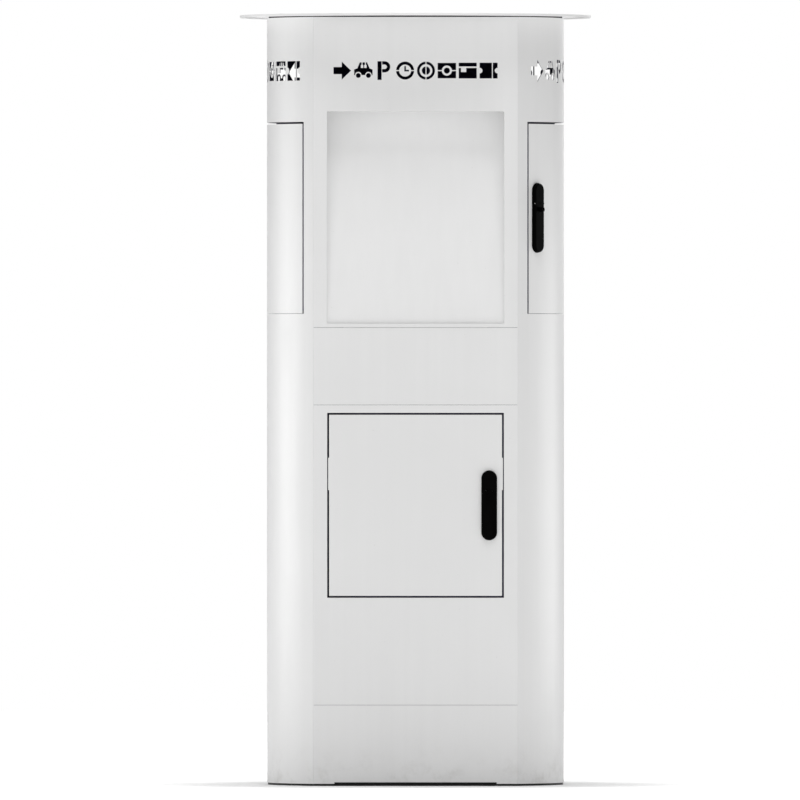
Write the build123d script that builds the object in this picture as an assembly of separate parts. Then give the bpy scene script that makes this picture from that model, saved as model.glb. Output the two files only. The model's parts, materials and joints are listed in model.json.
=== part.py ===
from build123d import *
from math import asin, atan2, cos, degrees, radians, sin, sqrt, tan
import os

# A round parking pay station housing with one flat front facet.
# Millimetres. +Z is up, the flat facet faces -Y, and the origin is on the floor under the round body's axis.
# Angles round the body, called phi, start at the facet's middle (-Y) and grow towards +X.

# Body
body_radius = 350.0
facet_half_width = 240.0
sheet = 2.0                      # skin and panel thickness
wall_top = 1805.5
base_thickness = 5.0
base_inset = 2.0
flange_width = 28.0              # return flange of each skin, behind the front panels
skin_clearance = 0.2             # between a front panel's mitred edge and the curved skin
rear_phi = 150.0                 # where the side skins end and the rear cover starts
rear_gap = 1.0                   # half of the joint beside the rear cover
facet_y = -sqrt(body_radius**2 - facet_half_width**2)
facet_phi = degrees(asin(facet_half_width / body_radius))

# Roof
roof_overhang = 64.0
roof_gap = 1.0                   # shadow joint between the walls and the roof's rim
roof_rim_height = 6.0
roof_sheet = 2.0
roof_edge_chamfer = 1.0
roof_seal_inset = 4.0
roof_seal_width = 14.0
roof_radius = body_radius + roof_overhang
roof_bottom = wall_top + roof_gap

# Angle rings inside the skins, one under the roof and one on the base
ring_height = 34.0
ring_flange = 30.0
ring_sheet = 3.0

# Base
anchor_spacing_x = 400.0
anchor_spacing_y = 300.0
anchor_radius = 9.0
cable_radius = 60.0
grommet_lip = 4.0
grommet_rim = 4.0                # height of the grommet's rim on the plate
grommet_floor_clearance = 0.5

# Front panels, from the top down
seam_gap = 0.6
window_drop = 221.8              # wall top to the window's upper edge
window_height = 498.5
window_margin = 8.9              # window's lower edge to the seam below it
window_half_width = 208.2
window_corner = 4.0
blank_height = 181.7
kick_top = 189.9
panel_fold = 15.0
panel_fold_clearance = 2.0       # between a fold's end and the skin's flange
kick_relief_half_width = 190.5
kick_relief_height = 3.5
window_top = wall_top - window_drop
window_bottom = window_top - window_height
blank_top = window_bottom - window_margin
surround_top = blank_top - blank_height

# Fascia behind the window
fascia_tilt = 10.0
fascia_lower_depth = 6.0
fascia_sheet = 3.0
recess_sheet = 1.5

# Front door opening
front_opening_half_width = 207.4
front_opening_height = 434.1
front_opening_drop = 18.7        # surround's top to the opening
front_gap = 4.5
front_opening_top = surround_top - front_opening_drop
front_opening_bottom = front_opening_top - front_opening_height

# Side door openings
side_opening_half_angle = 41.35
side_opening_height = 450.6
side_opening_drop = 246.2        # wall top to the opening
side_gap = 5.0                   # at the two upright edges
side_gap_top = 4.5
side_gap_bottom = 0.8
side_opening_top = wall_top - side_opening_drop
side_opening_bottom = side_opening_top - side_opening_height

# All doors
door_fold = 16.0                 # depth of a door's folded edges, face included
door_corner_relief = 5.0
lip_depth = 22.0                 # return lip round an opening
stop_width = 13.0                # stop strip behind the gap
stop_end_gap = 1.0
stop_clear_of_hinge = 60.0
seal_width = 9.0
seal_clearance = 0.3

# Hinges
hinge_edge_distance = 20.0       # pivot from the door's edge
hinge_depth = 10.0               # pivot behind the outer face
hinge_pin_radius = 3.0
hinge_pin_proud = 1.5
hinge_running_clearance = 0.06
hinge_eye_radius = 5.7
hinge_eye_clearance = 0.3        # between the arm's eye and the bracket's foot
hinge_lug_height = 4.0
hinge_lug_gap = 0.3
hinge_lug_root = 24.0            # how far along the foot each lug's root runs
hinge_foot_near = 8.0            # bracket foot, from the pivot towards the door's edge
hinge_foot_far = 34.0            # and into the door
hinge_foot_margin = 6.0          # foot above and below the lugs
hinge_end_distance = 60.0        # hinge from the door's top and bottom edges
hinge_foot_sheet = hinge_depth - sheet - hinge_eye_radius - hinge_eye_clearance
arm_height = 8.0
arm_width = 6.0
arm_hook_reach = 32.0
arm_hook_depth = 14.0
arm_back_depth = 32.0            # the hook's back bar behind the pivot
arm_foot_thickness = 3.0
arm_foot_height = 44.0

# Swing handle, in its own frame: x to the right, y up, z out of the door
handle_width = 37.0
handle_length = 164.0
handle_edge_distance = 30.0
dish_thickness = 3.0
dish_skirt = 2.0                 # the dish's back reaches the round skin
lever_clearance = 0.3
lever_top = 10.0
lever_side_inset = 1.2
lever_edge_round = 2.5
spindle_y = 54.0
spindle_radius = 5.0
spindle_clearance = 0.06
spindle_hole_clearance = 2.5     # round the spindle, through the door's face
spindle_end = 2.0                # spindle past the cam
knuckle_y = 34.0
knuckle_clearance = 0.5
knuckle_side_inset = 0.6
tongue_half_width = 7.0
pivot_pin_radius = 1.5
pivot_pin_inset = 0.8
pivot_pin_clearance = 0.05
barrel_y = 19.5
barrel_radius = 5.5
barrel_proud = 10.0
barrel_clearance = 0.06
barrel_edge_round = 0.8
keyway_width = 2.0
keyway_length = 7.0
keyway_depth = 4.0
lock_body_width = 30.0
lock_body_height = 58.0
lock_body_offset = 8.0           # its middle below the spindle
cam_clearance = 3.0              # between the stop strip and the cam
cam_thickness = 3.0
cam_width = 18.0
cam_reach = 32.0
lock_body_depth = door_fold - sheet
cam_depth = lip_depth + sheet + cam_clearance

# Front door's lock rail
rail_height = 75.8
rail_drop = 105.5                # opening's top to the rail
rail_overhang = 2.2              # its end plates stand this far past the door's edges
rail_top = front_opening_top - rail_drop
rail_bottom = rail_top - rail_height

# Stencil pictograms
glyph_height = 44.0
glyph_pitch = 49.0
glyph_drop = 126.1               # wall top to the row's middle
side_glyph_scale = 1.24
glyph_cut_depth = 24.0
bridge = 0.05                    # stencil bridge, as a share of the glyph height
glyph_z = wall_top - glyph_drop

# Screws
screw_radius = 3.0
screw_head_radius = 5.5
screw_head_height = 3.0
screw_head_round = 1.6
screw_socket_radius = 2.3
screw_socket_depth = 1.8
screw_hole_clearance = 0.3
rear_screw_side = 14.0           # screws beside the rear cover's edge
rear_screw_length = 9.0
rear_screw_rows = 5
rear_screw_end = 80.0            # first screw above the base, and last screw below the wall's top
roof_screw_angles = [75, 105, 135, 165, 195, 225, 255, 285]
roof_screw_length = 14.0

# Rear cover's posts and vents
post_half_width = 26.0
post_sheet = 3.0
vent_low = 330.0
vent_high_drop = 305.5           # wall top to the upper vent's middle
vent_rows = 6
vent_pitch = 16.0
vent_width = 150.0
vent_slot = 6.0

# Equipment shelf on four cleats
shelf_drop = 112.0               # side opening's lower edge to the shelf
shelf_fold = 20.0
shelf_clearance = 4.0
shelf_slot_width = 220.0         # cable slot behind the gear plate
shelf_slot_depth = 60.0
shelf_slot_y = 200.0
cleat_angles = [60, 120, 240, 300]
cleat_half_angle = 6.0
cleat_leg = 40.0
cleat_sheet = 3.0
shelf_z = side_opening_bottom - shelf_drop

# Gear on its plate, with heights above the shelf
gear_plate_half_width = 170.0
gear_plate_y = 130.0
gear_plate_height = 440.0
gear_plate_foot = 40.0
controller_half_width = 130.0
controller_depth = 62.0
controller_low, controller_high = 40.0, 210.0
controller_round = 4.0
louvre_half_width = 90.0
louvre_count = 7
louvre_pitch = 14.0
louvre_height = 6.0
louvre_depth = 4.0
louvre_low = 80.0
supply_left, supply_right = -150.0, 10.0
supply_depth = 45.0
supply_low, supply_high = 240.0, 335.0
supply_round = 3.0
din_half_length = 150.0
din_low, din_high = 380.0, 415.0
din_depth = 7.5
din_sheet = 1.0
din_lip = 5.0
module_count = 6
module_left = -100.0
module_width = 17.5
module_pitch = 18.5
module_front = 65.0              # front of the modules, from the plate
module_low, module_high = 355.0, 440.0
module_chamfer = 6.0

over = 1.0                       # how far a cut runs past the face that it cuts
far = 1000.0                     # half-size of a block that stands for half of space

parts = {}


def outward(phi):
    return Vector(sin(radians(phi)), -cos(radians(phi)), 0)


def along(phi):
    """Unit vector round the body, to the right for someone facing the skin."""
    return Vector(cos(radians(phi)), sin(radians(phi)), 0)


def arc_degrees(length, radius=body_radius):
    return degrees(length / radius)


def block(x0, x1, y0, y1, z0, z1):
    size = (x1 - x0, y1 - y0, z1 - z0)
    return Pos((x0 + x1) / 2, (y0 + y1) / 2, (z0 + z1) / 2) * Box(*size)


def disc(radius, z0, z1):
    return Pos(0, 0, (z0 + z1) / 2) * Cylinder(radius, z1 - z0)


def arc_wall(outer, depth, phi0, phi1, z0, z1):
    """A piece of round wall: outer radius, depth inwards, two angles and two heights."""
    start, span = phi0 - 90, phi1 - phi0
    outside = CenterArc((0, 0), outer, start, span)
    inside = CenterArc((0, 0), outer - depth, start, span)
    ends = [Line(outside @ 0, inside @ 0), Line(outside @ 1, inside @ 1)]
    face = make_face([outside, inside, *ends])
    return Pos(0, 0, z0) * extrude(face, amount=z1 - z0, dir=(0, 0, 1))


def outline(inset, front_inset=None):
    """The body's plan, drawn in by inset, or by front_inset behind the flat facet."""
    cut_y = facet_y + (inset if front_inset is None else front_inset)
    disc = Circle(body_radius - inset)
    front = Pos(0, cut_y - body_radius) * Rectangle(2 * body_radius, 2 * body_radius)
    return disc - front


def outline_slab(inset, z0, z1, front_inset=None):
    return Pos(0, 0, z0) * extrude(outline(inset, front_inset), amount=z1 - z0)


def surface_place(phi, z, radius=body_radius):
    """Frame on the round skin: x to the right, y up, z outwards."""
    point = outward(phi) * radius + Vector(0, 0, z)
    return Plane(origin=point, x_dir=along(phi), z_dir=outward(phi)).location


def front_place(z, x=0.0):
    """Frame on the flat facet: x to the right, y up, z outwards."""
    return Plane(origin=(x, facet_y, z), x_dir=(1, 0, 0), z_dir=(0, -1, 0)).location


def half_turn(shape):
    return Rot(0, 0, 180) * shape


# Pictograms, each one glyph high and drawn about its middle

def ring_cut(radius, thickness, upright=True):
    """A ring with two bridges, so that its middle stays in place."""
    gap = Rectangle(bridge, 3) if upright else Rectangle(3, bridge)
    return Circle(radius) - Circle(radius - thickness) - gap


def glyph_arrow():
    tail, neck, tip = -0.48, -0.04, 0.46
    head, shaft = 0.48, 0.19
    upper = [(tip, 0), (neck, head), (neck, shaft), (tail, shaft)]
    lower = [(x, -y) for x, y in reversed(upper[1:])]
    return make_face(Polyline(*lower, *upper, close=True))


def glyph_car():
    half_length, sill, bonnet, shoulder, roof = 0.49, -0.24, 0.06, 0.12, 0.44
    rear_foot, rear_top, front_top, front_foot = -0.32, -0.19, 0.20, 0.33
    wheel_x, wheel_z, wheel_radius, arch_radius = 0.27, -0.26, 0.13, 0.17
    pane_width, pane_height, pane_z, pane_places = 0.13, 0.16, 0.22, (-0.07, 0.11)
    slot_z, slot_height = 0.36, 0.20
    rear = [(-half_length, sill), (-half_length, bonnet), (rear_foot, shoulder), (rear_top, roof)]
    front = [(front_top, roof), (front_foot, shoulder), (half_length, bonnet), (half_length, sill)]
    shape = make_face(Polyline(*rear, *front, close=True))
    for side in (-wheel_x, wheel_x):
        shape -= Pos(side, sill) * Circle(arch_radius)
    for side in pane_places:
        shape -= Pos(side, pane_z) * Rectangle(pane_width, pane_height)
        shape -= Pos(side, slot_z) * Rectangle(bridge, slot_height)
    for side in (-wheel_x, wheel_x):
        shape += Pos(side, wheel_z) * Circle(wheel_radius)
    return shape


def glyph_parking():
    stem_x, stem_width = -0.25, 0.22
    bowl_x, bowl_z, bowl_outer, bowl_inner = 0.02, 0.20, 0.30, 0.12
    arm_x, arm_width, arm_height, arm_spread = -0.05, 0.14, 0.18, 0.21
    left_x, left_width = -0.31, 0.40
    eye_width, eye_height = 0.16, 0.24
    stem = Pos(stem_x, 0) * Rectangle(stem_width, 1.0)
    bowl = Pos(bowl_x, bowl_z) * (Circle(bowl_outer) - Circle(bowl_inner))
    for z in (bowl_z + arm_spread, bowl_z - arm_spread):
        bowl += Pos(arm_x, z) * Rectangle(arm_width, arm_height)
    bowl -= Pos(left_x, bowl_z) * Rectangle(left_width, 1.0)
    bowl -= Pos(arm_x, bowl_z) * Rectangle(eye_width, eye_height)
    return stem + bowl


def glyph_clock():
    radius, rim, hand = 0.48, 0.16, 0.09
    long_hand, long_middle = 0.28, 0.10
    short_hand, short_middle = 0.25, 0.08
    hands = Pos(0, long_middle) * Rectangle(hand, long_hand)
    hands += Pos(short_middle, 0) * Rectangle(short_hand, hand)
    return ring_cut(radius, rim, upright=False) + hands


def glyph_coin():
    radius, rim, face_radius = 0.48, 0.14, 0.22
    return ring_cut(radius, rim) + (Circle(face_radius) - Rectangle(bridge, 1))


def glyph_note():
    width, height, eye_radius, seal_radius = 0.98, 0.82, 0.27, 0.16
    shape = Rectangle(width, height) - Circle(eye_radius) - Rectangle(width, bridge)
    return shape + Circle(seal_radius)


def glyph_card():
    width, band_z, band_height, body_z, body_height = 0.96, 0.32, 0.20, -0.14, 0.56
    chip_x, chip_z, chip_width, chip_height = -0.22, 0.04, 0.28, 0.24
    band = Pos(0, band_z) * Rectangle(width, band_height)
    body = Pos(0, body_z) * Rectangle(width, body_height)
    return band + body - Pos(chip_x, chip_z) * Rectangle(chip_width, chip_height)


def glyph_ticket():
    width, height, tear_x, punch_x, punch_radius = 0.96, 0.84, 0.20, 0.48, 0.15
    shape = Rectangle(width, height) - Pos(tear_x, 0) * Rectangle(bridge, 1)
    for side in (-punch_x, punch_x):
        shape -= Pos(side, 0) * Circle(punch_radius)
    return shape


glyphs = [glyph_arrow, glyph_car, glyph_parking, glyph_clock]
glyphs += [glyph_coin, glyph_note, glyph_card, glyph_ticket]


def glyph_cutter(glyph, height):
    return extrude(scale(glyph(), by=height), amount=glyph_cut_depth, both=True)


def glyph_offsets(pitch):
    middle = (len(glyphs) - 1) / 2
    return [(i - middle) * pitch for i in range(len(glyphs))]


def angle_ring(z_flange, z_leg_end):
    """An angle ring inside the skins: a flat flange, and a leg against the skins and their flanges."""
    low, high = min(z_flange, z_leg_end), max(z_flange, z_leg_end)
    inside, front = sheet, 2 * sheet
    ring = outline_slab(inside, low, high, front)
    ring -= outline_slab(inside + ring_sheet, low - over, high + over, front + ring_sheet)
    flange_low = high - ring_sheet if z_flange > z_leg_end else low
    flange = outline_slab(inside, flange_low, flange_low + ring_sheet, front)
    flange -= outline_slab(inside + ring_flange, low - over, high + over, front + ring_flange)
    return ring + flange


def anchor_places():
    for x in (-anchor_spacing_x / 2, anchor_spacing_x / 2):
        for y in (-anchor_spacing_y / 2, anchor_spacing_y / 2):
            yield x, y


def make_base():
    plate = outline_slab(base_inset, 0, base_thickness)
    for x, y in anchor_places():
        plate -= Pos(x, y, 0) * disc(anchor_radius, -over, base_thickness + over)
    plate -= disc(cable_radius, -over, base_thickness + over)
    parts["base_plate"] = plate
    parts["base_ring"] = angle_ring(base_thickness, base_thickness + ring_height)
    rim_top = base_thickness + grommet_rim
    grommet = disc(cable_radius, grommet_floor_clearance, rim_top)
    grommet += disc(cable_radius + grommet_lip, base_thickness, rim_top)
    parts["cable_grommet"] = grommet - disc(cable_radius - grommet_lip, 0, rim_top + over)


def roof_screw_places(z):
    """Under the cap the screws pass just inside the roof seal."""
    radius = body_radius - roof_seal_inset - roof_seal_width - screw_head_radius
    return [Pos(*(outward(phi) * radius + Vector(0, 0, z))) for phi in roof_screw_angles]


def make_roof():
    cap = disc(roof_radius, roof_bottom, roof_bottom + roof_rim_height)
    cap = chamfer(cap.edges().group_by(Axis.Z)[-1], roof_edge_chamfer)
    underside = roof_bottom + roof_rim_height - roof_sheet
    cap -= disc(roof_radius - roof_sheet, roof_bottom - over, underside)
    ring = angle_ring(wall_top, wall_top - ring_height)
    seal = outline_slab(roof_seal_inset, wall_top, underside)
    seal -= outline_slab(roof_seal_inset + roof_seal_width, wall_top - over, underside + over)
    hole = Cylinder(screw_radius + screw_hole_clearance, 2 * ring_height)
    for place in roof_screw_places(wall_top):
        cap -= place * hole
        ring -= place * hole
    parts["roof_cap"] = cap
    parts["roof_ring"] = ring
    parts["roof_seal"] = seal


def rear_screw_angle():
    return rear_phi + arc_degrees(rear_screw_side)


def side_skin(side):
    """A curved skin with its front flange, door opening, lips and pictograms.
    Side is 1 on the right and -1 on the left, where the blank is turned over and the pictograms still read
    from left to right."""
    middle = 180 - side * 90
    low_phi, high_phi = middle - side_opening_half_angle, middle + side_opening_half_angle
    lip = arc_degrees(sheet)
    ends = sorted((180 - side * (180 - facet_phi), 180 - side * (180 - rear_phi + arc_degrees(rear_gap))))
    skin = arc_wall(body_radius, sheet, *ends, base_thickness, wall_top)
    skin += arc_wall(body_radius, lip_depth, low_phi - lip, high_phi + lip, side_opening_bottom - sheet,
                     side_opening_top + sheet)
    skin -= arc_wall(body_radius + over, lip_depth + 2 * over, low_phi, high_phi, side_opening_bottom,
                     side_opening_top)
    xs = sorted((side * (facet_half_width - flange_width), side * facet_half_width))
    skin += block(*xs, facet_y + sheet, facet_y + 2 * sheet, base_thickness, wall_top)
    for glyph, offset in zip(glyphs, glyph_offsets(glyph_pitch * side_glyph_scale)):
        place = surface_place(middle + arc_degrees(offset), glyph_z)
        skin -= place * glyph_cutter(glyph, glyph_height * side_glyph_scale)
    return skin


def make_skins():
    parts["right_skin"] = side_skin(1)
    parts["left_skin"] = side_skin(-1)


def rear_screw_heights():
    low, high = base_thickness + rear_screw_end, wall_top - rear_screw_end
    return [low + (high - low) * i / (rear_screw_rows - 1) for i in range(rear_screw_rows)]


def make_rear():
    edge = arc_degrees(rear_gap)
    cover = arc_wall(body_radius, sheet, rear_phi + edge, 360 - rear_phi - edge, base_thickness, wall_top)
    slot = Box(vent_width, far, vent_slot)
    for centre in (vent_low, wall_top - vent_high_drop):
        for row in range(vent_rows):
            height = centre + (row - (vent_rows - 1) / 2) * vent_pitch
            cover -= Pos(0, far / 2, height) * slot
    post_span = arc_degrees(post_half_width)
    post_ends = base_thickness + ring_height, wall_top - ring_height
    posts = []
    screws = []
    shaft_hole = Cylinder(screw_radius + screw_hole_clearance, 4 * rear_screw_length)
    for side in (1, -1):
        middle = 180 - side * (180 - rear_phi)
        post = arc_wall(body_radius - sheet, post_sheet, middle - post_span, middle + post_span, *post_ends)
        phi = 180 - side * (180 - rear_screw_angle())
        for z in rear_screw_heights():
            place = surface_place(phi, z)
            cover -= place * shaft_hole
            post -= place * shaft_hole
            screws.append(place * button_screw(rear_screw_length))
        posts.append(post)
    parts["rear_cover"] = cover
    parts["rear_posts"] = Compound(children=posts)
    for place in roof_screw_places(roof_bottom + roof_rim_height):
        screws.append(place * button_screw(roof_screw_length))
    parts["cover_screws"] = Compound(children=screws)


def button_screw(length):
    """A button-head screw that stands on the plane z = 0, with its shaft below."""
    head = disc(screw_head_radius, 0, screw_head_height)
    head = fillet(head.edges().group_by(Axis.Z)[-1], screw_head_round)
    hexagon = RegularPolygon(screw_socket_radius, 6)
    socket = Pos(0, 0, screw_head_height) * extrude(hexagon, amount=screw_socket_depth, both=True)
    return head - socket + disc(screw_radius, -length, 0)


def front_panel(z0, z1):
    """A mitred flat panel with a stiffening fold along its lower and upper edges."""
    outer = facet_half_width - skin_clearance
    inner = outer - sheet * tan(radians(facet_phi))
    plan = make_face(Polyline((-outer, facet_y), (outer, facet_y), (inner, facet_y + sheet),
                              (-inner, facet_y + sheet), close=True))
    panel = Pos(0, 0, z0) * extrude(plan, amount=z1 - z0, dir=(0, 0, 1))
    fold_x = facet_half_width - flange_width - panel_fold_clearance
    panel += block(-fold_x, fold_x, facet_y, facet_y + panel_fold, z0, z0 + sheet)
    panel += block(-fold_x, fold_x, facet_y, facet_y + panel_fold, z1 - sheet, z1)
    return panel


def make_front_panels():
    half_seam = seam_gap / 2
    kick = front_panel(base_thickness, kick_top - half_seam)
    kick -= block(-far, far, facet_y + sheet, facet_y + panel_fold + over, 0, base_thickness + ring_height)
    kick -= block(-kick_relief_half_width, kick_relief_half_width, facet_y - over, facet_y + sheet + over,
                  0, base_thickness + kick_relief_height)
    parts["kick_panel"] = kick

    half = front_opening_half_width
    surround = front_panel(kick_top + half_seam, surround_top - half_seam)
    low, high = front_opening_bottom, front_opening_top
    surround += block(-half - sheet, half + sheet, facet_y, facet_y + lip_depth, low - sheet, high + sheet)
    surround -= block(-half, half, facet_y - over, facet_y + lip_depth + over, low, high)
    parts["door_surround"] = surround

    parts["blank_panel"] = front_panel(surround_top + half_seam, blank_top - half_seam)

    header = front_panel(blank_top + half_seam, wall_top)
    fold_back = facet_y + panel_fold + over
    header -= block(-far, far, facet_y + sheet, fold_back, wall_top - ring_height, wall_top + over)
    window = RectangleRounded(2 * window_half_width, window_height, window_corner)
    header -= front_place((window_bottom + window_top) / 2) * extrude(window, amount=panel_fold, both=True)
    for glyph, offset in zip(glyphs, glyph_offsets(glyph_pitch)):
        header -= front_place(glyph_z) * Pos(offset, 0, 0) * glyph_cutter(glyph, glyph_height)
    parts["header_panel"] = header


def fascia_depth(z):
    """How far the equipment plate's face stands behind the front facet at a height."""
    return fascia_lower_depth + (z - window_bottom) * tan(radians(fascia_tilt))


def fascia_slab(half_width, grow, front, back):
    """A solid as high as the window plus grow at each end, its front and back as functions of height."""
    low, high = window_bottom - grow, window_top + grow
    side = Polyline((front(low), low), (back(low), low), (back(high), high), (front(high), high), close=True)
    return extrude(Plane.YZ * make_face(side), amount=half_width, both=True)


def make_fascia():
    """The blank equipment plate leans back, in a sheet recess with two cheeks, a ceiling and a sill."""
    def panel_back(z):
        return facet_y + sheet

    def plate_front(z):
        return facet_y + fascia_depth(z)

    def plate_back(z):
        return plate_front(z) + fascia_sheet

    outer_half_width = window_half_width + recess_sheet
    recess = fascia_slab(outer_half_width, recess_sheet, panel_back, plate_front)
    recess -= fascia_slab(window_half_width, 0, lambda z: facet_y, plate_back)
    parts["fascia_recess"] = recess.solid()
    parts["fascia_plate"] = fascia_slab(outer_half_width, recess_sheet, plate_front, plate_back)


def hinge_arm(gap):
    """Gooseneck arm of a concealed hinge, in plan, from the pivot: x runs from the door's edge into the door
    and y is the depth. Its bar ends in the foot plate, inside the plate's thickness."""
    end = -hinge_edge_distance - gap - sheet - arm_foot_thickness / 2 - arm_width / 2
    hook = [(arm_hook_reach, arm_hook_depth), (arm_hook_reach, arm_back_depth)]
    route = [(0, 0), *hook, (end, arm_back_depth)]
    arm = Sketch()
    for a, b in zip(route, route[1:]):
        run = Vector(*b) - Vector(*a)
        bar = SlotOverall(run.length + arm_width, arm_width)
        middle = (Vector(*a) + Vector(*b)) / 2
        arm += Pos(middle.X, middle.Y) * Rot(0, 0, degrees(atan2(run.Y, run.X))) * bar
    arm += Circle(hinge_eye_radius)
    arm -= Circle(hinge_pin_radius)
    return extrude(arm, amount=arm_height / 2, both=True)


def lug_start():
    """Height of a lug's inner face above the arm's middle."""
    return arm_height / 2 + hinge_lug_gap


def hinge_pin():
    half = lug_start() + hinge_lug_height + hinge_pin_proud
    return disc(hinge_pin_radius, -half, half)


def hinge_bracket():
    """Two lugs on a foot that is fixed inside the door's face. Same axes as the arm."""
    inside = sheet - hinge_depth
    foot = [(hinge_lug_root, inside), (-hinge_foot_near, inside)]
    web = Polyline((-hinge_eye_radius, 0), (hinge_eye_radius, 0), *foot, close=True)
    lug_plan = Circle(hinge_eye_radius) + make_face(web) - Circle(hinge_pin_radius + hinge_running_clearance)
    lug = extrude(lug_plan, amount=hinge_lug_height)
    both = Pos(0, 0, lug_start()) * lug + Pos(0, 0, -lug_start() - hinge_lug_height) * lug
    tall = lug_start() + hinge_lug_height + hinge_foot_margin
    return both + block(-hinge_foot_near, hinge_foot_far, inside, inside + hinge_foot_sheet, -tall, tall)


def front_hinge_place(z):
    edge = -(front_opening_half_width - front_gap)
    point = (edge + hinge_edge_distance, facet_y + hinge_depth, z)
    return Plane(origin=point, x_dir=(1, 0, 0), z_dir=(0, 0, 1)).location


def side_door_phi():
    half = side_opening_half_angle - arc_degrees(side_gap)
    return 90 - half, 90 + half


def side_hinge_phi():
    return side_door_phi()[1] - arc_degrees(hinge_edge_distance)


def side_hinge_place(z):
    phi = side_hinge_phi()
    point = outward(phi) * (body_radius - hinge_depth) + Vector(0, 0, z)
    return Plane(origin=point, x_dir=along(phi) * -1, z_dir=(0, 0, -1)).location


def foot_depths():
    """How deep the arm's foot plate starts and ends, from the outer face."""
    return 2 * sheet, hinge_depth + arm_back_depth + arm_width


def front_hinge_arm(z):
    lip_side = -front_opening_half_width - sheet
    near, deep = foot_depths()
    half = arm_foot_height / 2
    beside_lip = block(-far, lip_side - arm_foot_thickness, -far, 0, z - half, z + half)
    foot = block(lip_side - arm_foot_thickness, lip_side, facet_y + near, facet_y + deep, z - half, z + half)
    return front_hinge_place(z) * hinge_arm(front_gap) - beside_lip + foot


def side_hinge_arm(z):
    phi = 90 + side_opening_half_angle + arc_degrees(sheet)
    phi_end = phi + arc_degrees(arm_foot_thickness)
    near, deep = foot_depths()
    half = arm_foot_height / 2
    beside_lip = arc_wall(body_radius, deep + over, phi_end, phi_end + arc_degrees(arm_hook_reach), z - half,
                          z + half)
    foot = arc_wall(body_radius - near, deep - near, phi, phi_end, z - half, z + half)
    return side_hinge_place(z) * hinge_arm(side_gap) - beside_lip + foot


def hinge_heights(bottom, top):
    return [bottom + hinge_end_distance, top - hinge_end_distance]


def pill(length, width, y=0.0):
    return Pos(0, y) * Rot(0, 0, 90) * SlotOverall(length, width)


def skin_drum(radius):
    """The round body in the handle's frame: its axis is upright, body_radius behind the face."""
    return Pos(0, 0, -body_radius) * Rot(90, 0, 0) * Cylinder(radius, 3 * handle_length)


def behind_face(depth, curved):
    """Everything deeper than a distance behind the door's outer face."""
    return skin_drum(body_radius - depth) if curved else block(-far, far, -far, far, -far, -depth)


def knuckle_bar(radius, half_width):
    middle_z = (dish_thickness + lever_clearance + lever_top) / 2
    return Pos(0, knuckle_y, middle_z) * Rot(0, 90, 0) * Cylinder(radius, 2 * half_width)


def tongue_zone(half_width):
    return block(-half_width, half_width, -far, far, -far, far)


def handle_dish(curved):
    reach = dish_thickness + dish_skirt
    dish = Pos(0, 0, -dish_skirt) * extrude(pill(handle_length, handle_width), amount=reach)
    dish = (dish - behind_face(0, curved)).solid()
    return dish - Pos(0, spindle_y) * disc(spindle_radius + spindle_clearance, -reach, reach)


def lock_body(curved):
    half_width, half_height = lock_body_width / 2, lock_body_height / 2
    middle = spindle_y - lock_body_offset
    back = -sheet - lock_body_depth
    body = block(-half_width, half_width, middle - half_height, middle + half_height, back, dish_thickness)
    body &= behind_face(sheet, curved)
    return body - Pos(0, spindle_y) * disc(spindle_radius + spindle_clearance, -far, far)


def make_handle(name, place, curved):
    """A flush swing handle: dish and lock body on the door, hub, cam, lever with its pin, key barrel."""
    low = dish_thickness + lever_clearance
    knuckle_radius = (lever_top - low) / 2
    cover = extrude(pill(handle_length - 2 * lever_side_inset, handle_width - 2 * lever_side_inset),
                    amount=lever_top - low)
    cover = Pos(0, 0, low) * fillet(cover.edges().group_by(Axis.Z)[-1], lever_edge_round)
    above = block(-far, far, knuckle_y, far, -far, far)
    below = block(-far, far, -far, knuckle_y, -far, far)
    wide = handle_width / 2 - lever_side_inset
    slot = tongue_zone(tongue_half_width + knuckle_clearance / 2)
    bar_cut = knuckle_radius + knuckle_clearance

    hub = (cover & above) - (knuckle_bar(bar_cut, wide) & slot)
    hub += knuckle_bar(knuckle_radius, wide - knuckle_side_inset) - slot
    hub += Pos(0, spindle_y) * disc(spindle_radius, -cam_depth - cam_thickness - spindle_end, low)
    hub -= knuckle_bar(pivot_pin_radius, wide + over)

    lever = (cover & below) - knuckle_bar(bar_cut, far)
    lever += knuckle_bar(knuckle_radius, tongue_half_width)
    tongue_end = knuckle_y - bar_cut - over
    lever += block(-tongue_half_width, tongue_half_width, tongue_end, knuckle_y, low, lever_top)
    lever -= knuckle_bar(pivot_pin_radius + pivot_pin_clearance, wide)
    lever -= Pos(0, barrel_y) * disc(barrel_radius + barrel_clearance, low - over, lever_top + over)

    barrel_top = lever_top + barrel_proud
    barrel = disc(barrel_radius, low, barrel_top)
    barrel = fillet(barrel.edges().group_by(Axis.Z)[-1], barrel_edge_round)
    barrel -= Pos(0, 0, barrel_top) * Box(keyway_width, keyway_length, 2 * keyway_depth)

    cam_plan = pill(cam_reach + cam_width / 2, cam_width, spindle_y - cam_reach / 2 + cam_width / 4)
    cam = Pos(0, 0, -cam_depth - cam_thickness) * extrude(cam_plan, amount=cam_thickness)
    cam -= Pos(0, spindle_y) * disc(spindle_radius, -cam_depth - cam_thickness - over, over - cam_depth)

    pin = knuckle_bar(pivot_pin_radius, wide - pivot_pin_inset)
    made = {"handle_dish": handle_dish(curved), "lock_body": lock_body(curved), "handle_hub": hub,
            "cam": cam, "lever": lever, "lever_pin": pin, "key_barrel": Pos(0, barrel_y) * barrel}
    for piece, shape in made.items():
        parts[f"{name}_{piece}"] = place * shape


def spindle_hole():
    return Pos(0, spindle_y) * Cylinder(spindle_radius + spindle_hole_clearance, 4 * door_fold)


def front_door_box():
    half = front_opening_half_width - front_gap
    return -half, half, front_opening_bottom + front_gap, front_opening_top - front_gap


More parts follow.
